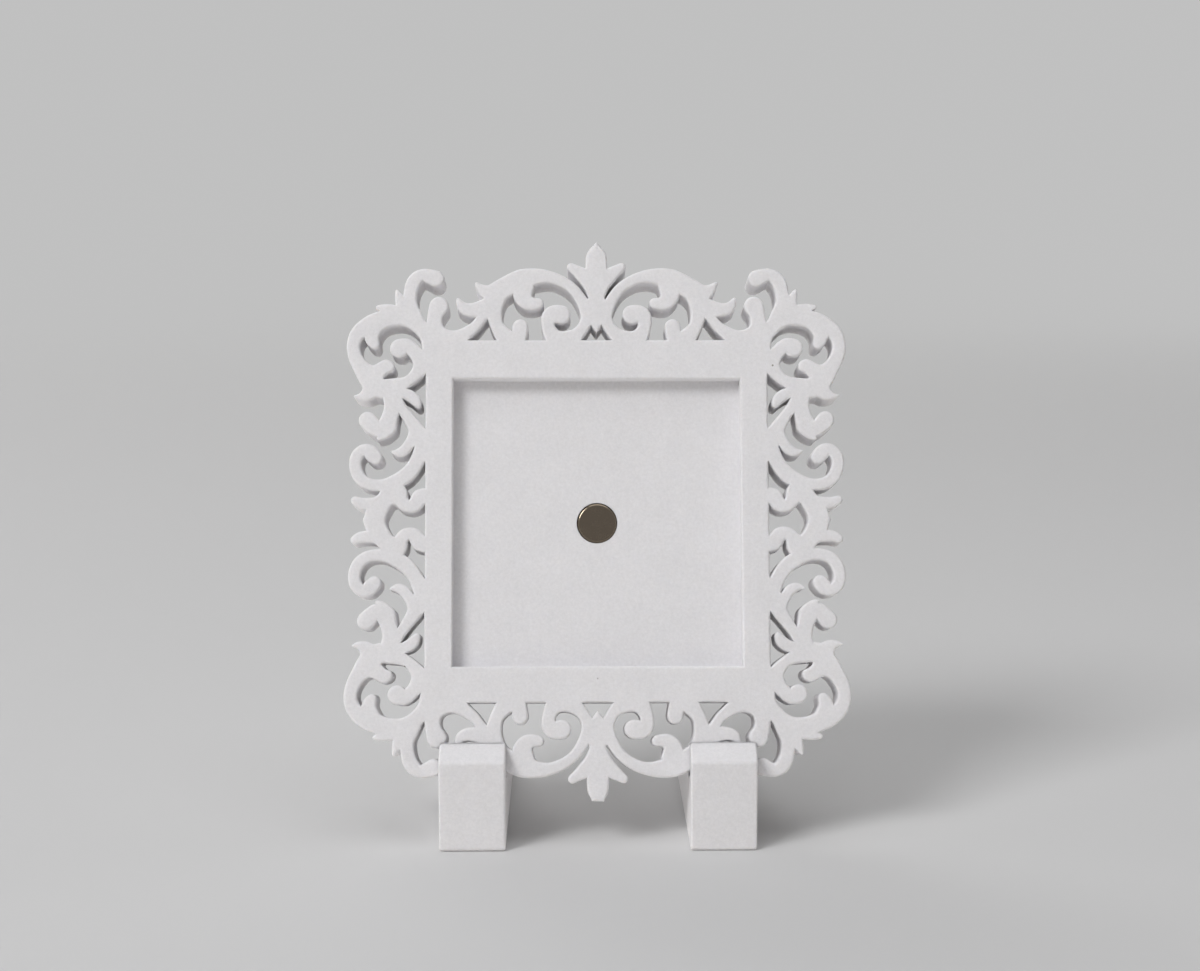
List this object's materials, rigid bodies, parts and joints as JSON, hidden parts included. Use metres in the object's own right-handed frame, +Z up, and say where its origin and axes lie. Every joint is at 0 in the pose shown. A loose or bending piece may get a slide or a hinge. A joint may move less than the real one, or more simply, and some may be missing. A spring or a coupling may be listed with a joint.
{
  "type": "magnetic photo frame",
  "caption": "Scrollwork photo frame with a square picture recess and a disc magnet, leaning back in two slotted block feet.",
  "frame": {"origin": "on the table, midway between the feet and midway along them", "axes": "+X to the right as seen from the front, +Y to the back, +Z up; the picture faces -Y"},
  "size_m": [0.123, 0.07, 0.144],
  "materials": {
    "sintered_nylon": "matte, fine grain",
    "nickel_plate": "polished nickel"
  },
  "bodies": {
    "frame": {"frame": "sintered_nylon", "magnet": "nickel_plate"},
    "left_foot": {"left_foot": "sintered_nylon"},
    "right_foot": {"right_foot": "sintered_nylon"}
  },
  "joints": [
    {"name": "left_foot_slide", "type": "slide", "parent": "frame", "child": "left_foot", "axis": [0, -0.2588, -0.9659], "range_m": [0, 0.012]},
    {"name": "right_foot_slide", "type": "slide", "parent": "frame", "child": "right_foot", "axis": [0, -0.2588, -0.9659], "range_m": [0, 0.012]}
  ]
}
